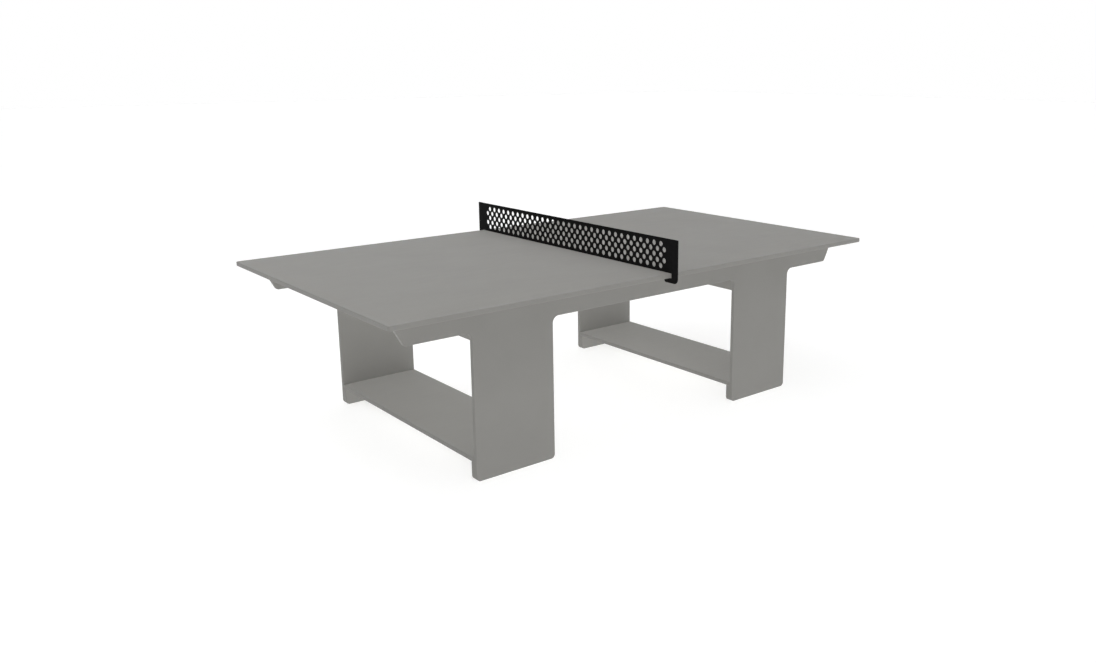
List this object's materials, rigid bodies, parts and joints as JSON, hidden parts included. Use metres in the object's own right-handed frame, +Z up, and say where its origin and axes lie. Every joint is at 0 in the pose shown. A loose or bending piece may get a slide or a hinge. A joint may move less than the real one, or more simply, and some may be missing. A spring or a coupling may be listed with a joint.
{
  "type": "ping pong table",
  "caption": "Full-size outdoor ping pong table cut from thick plastic sheet, with two slab side frames, low shelves and a slide-on perforated net plate.",
  "frame": {"origin": "on the floor, under the middle of the table", "axes": "+X along the table's length, +Y across it towards the back side frame, +Z up"},
  "size_m": [2.74, 1.604, 0.9125],
  "materials": {
    "sheet_grey": "warm mid-grey solid plastic sheet, fine matte texture, softened routed edges",
    "net_black": "black powder coat, satin",
    "fastener_steel": "plain stainless steel, brushed"
  },
  "bodies": {
    "table": {"top_panel": "sheet_grey", "side_frame_front": "sheet_grey", "side_frame_back": "sheet_grey", "shelf_left": "sheet_grey", "shelf_right": "sheet_grey", "leg_doubler_front_left": "sheet_grey", "leg_doubler_front_right": "sheet_grey", "leg_doubler_back_left": "sheet_grey", "leg_doubler_back_right": "sheet_grey", "cross_rail_left_inner": "sheet_grey", "cross_rail_left_outer": "sheet_grey", "cross_rail_right_inner": "sheet_grey", "cross_rail_right_outer": "sheet_grey", "rail_cleat_front_left_inner": "sheet_grey", "rail_cleat_front_left_outer": "sheet_grey", "rail_cleat_front_right_inner": "sheet_grey", "rail_cleat_front_right_outer": "sheet_grey", "rail_cleat_back_left_inner": "sheet_grey", "rail_cleat_back_left_outer": "sheet_grey", "rail_cleat_back_right_inner": "sheet_grey", "rail_cleat_back_right_outer": "sheet_grey", "top_ledger_front": "sheet_grey", "top_ledger_back": "sheet_grey", "top_rib_1": "sheet_grey", "top_rib_2": "sheet_grey", "top_rib_3": "sheet_grey", "top_rib_4": "sheet_grey", "top_rib_5": "sheet_grey", "rail_bolt_front_left_inner_1": "fastener_steel", "rail_bolt_front_left_inner_2": "fastener_steel", "rail_bolt_front_left_outer_1": "fastener_steel", "rail_bolt_front_left_outer_2": "fastener_steel", "rail_bolt_front_right_inner_1": "fastener_steel", "rail_bolt_front_right_inner_2": "fastener_steel", "rail_bolt_front_right_outer_1": "fastener_steel", "rail_bolt_front_right_outer_2": "fastener_steel", "rail_bolt_back_left_inner_1": "fastener_steel", "rail_bolt_back_left_inner_2": "fastener_steel", "rail_bolt_back_left_outer_1": "fastener_steel", "rail_bolt_back_left_outer_2": "fastener_steel", "rail_bolt_back_right_inner_1": "fastener_steel", "rail_bolt_back_right_inner_2": "fastener_steel", "rail_bolt_back_right_outer_1": "fastener_steel", "rail_bolt_back_right_outer_2": "fastener_steel", "top_screw_front_left_1": "fastener_steel", "top_screw_front_left_2": "fastener_steel", "top_screw_front_left_3": "fastener_steel", "top_screw_front_right_1": "fastener_steel", "top_screw_front_right_2": "fastener_steel", "top_screw_front_right_3": "fastener_steel", "top_screw_back_left_1": "fastener_steel", "top_screw_back_left_2": "fastener_steel", "top_screw_back_left_3": "fastener_steel", "top_screw_back_right_1": "fastener_steel", "top_screw_back_right_2": "fastener_steel", "top_screw_back_right_3": "fastener_steel"},
    "net": {"net_plate": "net_black"}
  },
  "joints": [
    {"name": "net_slide", "type": "slide", "parent": "table", "child": "net", "axis": [1, 0, 0], "range_m": [-1.36, 1.36]}
  ]
}
